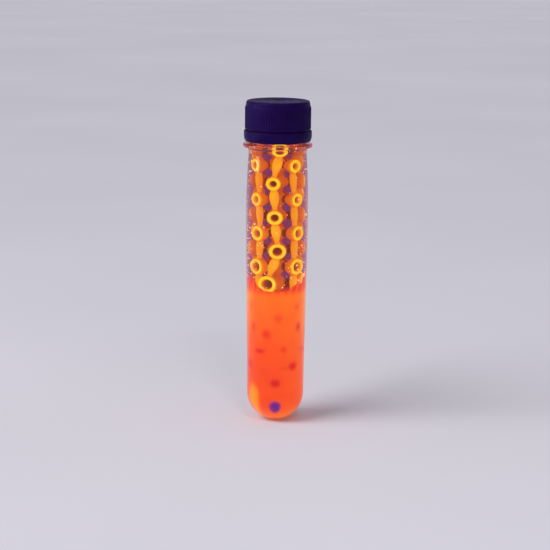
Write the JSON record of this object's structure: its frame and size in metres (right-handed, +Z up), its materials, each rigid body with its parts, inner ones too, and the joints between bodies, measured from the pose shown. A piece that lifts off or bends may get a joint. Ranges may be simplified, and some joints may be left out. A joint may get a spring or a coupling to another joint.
{
  "type": "screw-cap round-bottom tube",
  "caption": "Clear round-bottom tube with a screw cap, tamper band and support ring, holding a tubular lattice insert in dyed and clear liquid.",
  "frame": {"origin": "tip of the round bottom, on the tube's axis", "axes": "+Z up the tube's axis, towards the cap; -Y is the side that the picture shows"},
  "size_m": [0.033, 0.033, 0.1554],
  "materials": {
    "clear_plastic": "clear moulded polyester, polished",
    "cap_plastic": "satin moulded polyolefin, dark indigo",
    "liner_foam": "soft closed-cell sealing foam",
    "lattice_resin": "fluorescent translucent print resin",
    "dye": "fluorescent orange-red liquid, nearly opaque",
    "clear_water": "clear liquid"
  },
  "bodies": {
    "tube": {"tube_body": "clear_plastic"},
    "liner": {"cap_liner": "liner_foam"},
    "cap": {"screw_cap": "cap_plastic"},
    "band": {"tamper_band": "cap_plastic"},
    "contents": {"lattice_insert": "lattice_resin", "dye_liquid": "dye", "clear_liquid": "clear_water"}
  },
  "joints": [
    {"name": "cap_lift", "type": "slide", "parent": "tube", "child": "liner", "axis": [0, 0, 1], "range_m": [0, 0.01272]},
    {"name": "cap_turn", "type": "hinge", "parent": "liner", "child": "cap", "pos_m": [0, 0, 0.148], "axis": [0, 0, 1], "range_deg": [0, 1440]},
    {"name": "band_spin", "type": "hinge", "parent": "tube", "child": "band", "pos_m": [0, 0, 0.1385], "axis": [0, 0, 1], "continuous": true},
    {"name": "insert_turn", "type": "hinge", "parent": "tube", "child": "contents", "pos_m": [0, 0, 0.07], "axis": [0, 0, 1], "continuous": true}
  ],
  "couplings": [
    {"joint": "cap_lift", "follows": "cap_turn", "m_per_rad": 0.00050611}
  ]
}
